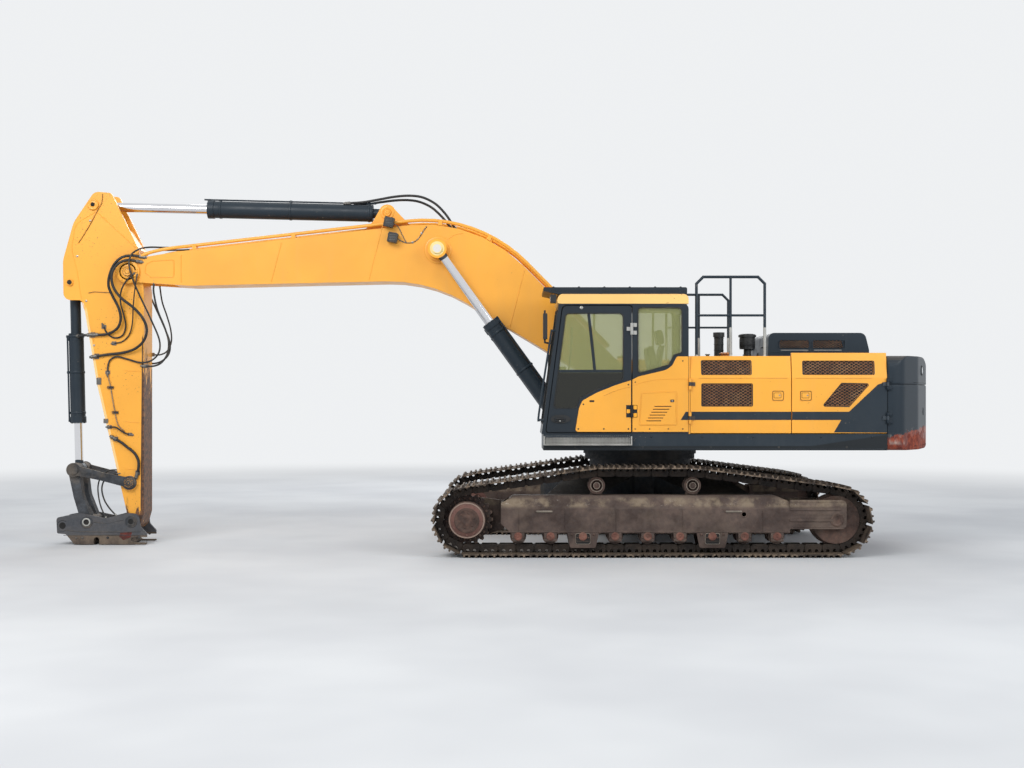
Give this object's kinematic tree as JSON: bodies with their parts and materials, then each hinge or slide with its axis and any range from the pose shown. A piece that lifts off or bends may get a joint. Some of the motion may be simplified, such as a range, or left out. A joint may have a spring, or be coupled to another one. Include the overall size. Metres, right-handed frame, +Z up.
{
  "type": "crawler excavator",
  "caption": "Tracked excavator with slewing upper structure, cab, gooseneck boom, arm and empty quick coupler, posed with the coupler on the ground.",
  "frame": {"origin": "on the ground in the middle of the length and width of the whole machine; the slewing axis is 1.921 m behind it", "axes": "+X forward along the boom, +Y to the cab side, +Z up"},
  "size_m": [11.0016, 3.34, 4.4874],
  "materials": {
    "orange_paint": "satin",
    "slate_paint": "satin",
    "dirty_steel": "rough",
    "track_steel": "rough",
    "chrome_rod": "polished",
    "step_plate": "checker",
    "window_glass": "clear",
    "black_plastic": "matte",
    "seat_fabric": "woven",
    "engine_block": "rough"
  },
  "bodies": {
    "undercarriage": {"car_body": "dirty_steel", "beam_left": "dirty_steel", "beam_right": "dirty_steel", "track_left": "track_steel", "track_right": "track_steel", "drive_left": "dirty_steel", "drive_right": "dirty_steel", "idler_left": "dirty_steel", "idler_right": "dirty_steel", "rollers_left": "dirty_steel", "rollers_right": "dirty_steel"},
    "upper": {"revolving_frame": "slate_paint", "deck": "slate_paint", "steps": "step_plate", "engine": "engine_block", "counterweight": "slate_paint", "body_walls": "orange_paint", "body_top": "slate_paint", "air_cleaner": "slate_paint", "tank": "orange_paint", "toolbox": "orange_paint", "cab": "slate_paint", "cab_roof": "orange_paint", "roof_guard": "slate_paint", "cab_glass": "window_glass", "seat": "seat_fabric", "controls": "black_plastic", "mirrors": "black_plastic", "handrails": "slate_paint", "cab_panel": "orange_paint"},
    "boom": {"boom": "orange_paint", "boom_lamps": "black_plastic", "boom_pipes": "orange_paint"},
    "arm": {"arm": "orange_paint"},
    "coupler": {"coupler": "slate_paint"},
    "rocker": {"rocker": "slate_paint"},
    "link": {"link": "slate_paint"},
    "boom_barrel_left": {"boom_barrel_left": "slate_paint"},
    "boom_barrel_right": {"boom_barrel_right": "slate_paint"},
    "boom_rod_left": {"boom_rod_left": "chrome_rod"},
    "boom_rod_right": {"boom_rod_right": "chrome_rod"},
    "arm_barrel": {"arm_barrel": "slate_paint"},
    "arm_rod": {"arm_rod": "chrome_rod"},
    "tip_barrel": {"tip_barrel": "slate_paint"},
    "tip_rod": {"tip_rod": "chrome_rod"},
    "cab_door": {"cab_door": "slate_paint", "door_glass": "window_glass", "door_panel": "orange_paint"},
    "side_door_front": {"side_door_front": "orange_paint"},
    "side_door_rear": {"side_door_rear": "orange_paint"},
    "pump_door": {"pump_door": "orange_paint"},
    "hood": {"hood": "slate_paint"}
  },
  "joints": [
    {"name": "slew", "type": "hinge", "parent": "undercarriage", "child": "upper", "pos_m": [-1.92084, 0, 1.16], "axis": [0, 0, 1], "continuous": true},
    {"name": "boom_lift", "type": "hinge", "parent": "upper", "child": "boom", "pos_m": [-1.73084, 0, 1.95], "axis": [0, -1, 0], "range_deg": [-50, 47]},
    {"name": "arm_swing", "type": "hinge", "parent": "boom", "child": "arm", "pos_m": [4.58956, 0, 3.46739], "axis": [0, -1, 0], "range_deg": [-48, 65]},
    {"name": "coupler_tilt", "type": "hinge", "parent": "arm", "child": "coupler", "pos_m": [4.55084, 0, 0.29763], "axis": [0, -1, 0], "range_deg": [-118, 45]},
    {"name": "rocker_swing", "type": "hinge", "parent": "arm", "child": "rocker", "pos_m": [4.57684, 0, 0.7886], "axis": [0, -1, 0], "range_deg": [-80.03, 31.85]},
    {"name": "link_swing", "type": "hinge", "parent": "coupler", "child": "link", "pos_m": [5.11679, 0, 0.29072], "axis": [0, -1, 0], "range_deg": [-33.84, 85.04]},
    {"name": "boom_barrel_left_tilt", "type": "hinge", "parent": "upper", "child": "boom_barrel_left", "pos_m": [-0.96084, 0.37, 1.5], "axis": [0, -1, 0], "range_deg": [-53.74, 50.63]},
    {"name": "boom_rod_left_slide", "type": "slide", "parent": "boom_barrel_left", "child": "boom_rod_left", "axis": [0.5855, 0, 0.8107], "range_m": [-0.6915, 0.6516]},
    {"name": "boom_barrel_right_tilt", "type": "hinge", "parent": "upper", "child": "boom_barrel_right", "pos_m": [-0.96084, -0.37, 1.5], "axis": [0, -1, 0], "range_deg": [-53.74, 50.63]},
    {"name": "boom_rod_right_slide", "type": "slide", "parent": "boom_barrel_right", "child": "boom_rod_right", "axis": [0.5855, 0, 0.8107], "range_m": [-0.6915, 0.6516]},
    {"name": "arm_barrel_tilt", "type": "hinge", "parent": "boom", "child": "arm_barrel", "pos_m": [1.31388, 0, 4.23491], "axis": [0, -1, 0], "range_deg": [-4.61, 6.17]},
    {"name": "arm_rod_slide", "type": "slide", "parent": "arm_barrel", "child": "arm_rod", "axis": [0.9997, 0, 0.0241], "range_m": [-0.9686, 0.7238]},
    {"name": "tip_barrel_tilt", "type": "hinge", "parent": "arm", "child": "tip_barrel", "pos_m": [5.34202, 0, 3.33619], "axis": [0, -1, 0], "range_deg": [-3.48, 1.39]},
    {"name": "tip_rod_slide", "type": "slide", "parent": "tip_barrel", "child": "tip_rod", "axis": [-0.024, 0, -0.9997], "range_m": [-0.3438, 0.8639]},
    {"name": "cab_door_swing", "type": "hinge", "parent": "upper", "child": "cab_door", "pos_m": [-1.68984, 1.507, 1.7], "axis": [0, 0, -1], "range_deg": [-165, 0]},
    {"name": "side_door_front_swing", "type": "hinge", "parent": "upper", "child": "side_door_front", "pos_m": [-2.37584, 1.507, 1.7], "axis": [0, 0, -1], "range_deg": [0, 100]},
    {"name": "side_door_rear_swing", "type": "hinge", "parent": "upper", "child": "side_door_rear", "pos_m": [-4.70084, 1.507, 1.7], "axis": [0, 0, 1], "range_deg": [0, 100]},
    {"name": "pump_door_swing", "type": "hinge", "parent": "upper", "child": "pump_door", "pos_m": [-2.37584, -1.507, 1.7], "axis": [0, 0, 1], "range_deg": [0, 100]},
    {"name": "hood_lift", "type": "hinge", "parent": "upper", "child": "hood", "pos_m": [-4.69284, 0, 2.382], "axis": [0, -1, 0], "range_deg": [0, 60]}
  ],
  "couplings": [
    {"joint": "rocker_swing", "follows": "coupler_tilt", "ratio": 0.66},
    {"joint": "link_swing", "follows": "coupler_tilt", "ratio": -0.7013},
    {"joint": "boom_barrel_left_tilt", "follows": "boom_lift", "ratio": 1.0346},
    {"joint": "boom_rod_left_slide", "follows": "boom_lift", "m_per_rad": 0.7628},
    {"joint": "boom_barrel_right_tilt", "follows": "boom_lift", "ratio": 1.0346},
    {"joint": "boom_rod_right_slide", "follows": "boom_lift", "m_per_rad": 0.7628},
    {"joint": "arm_barrel_tilt", "follows": "arm_swing", "ratio": 0.0918},
    {"joint": "arm_rod_slide", "follows": "arm_swing", "m_per_rad": -0.8251},
    {"joint": "tip_barrel_tilt", "follows": "coupler_tilt", "ratio": 0.0287},
    {"joint": "tip_rod_slide", "follows": "coupler_tilt", "m_per_rad": -0.4082}
  ]
}
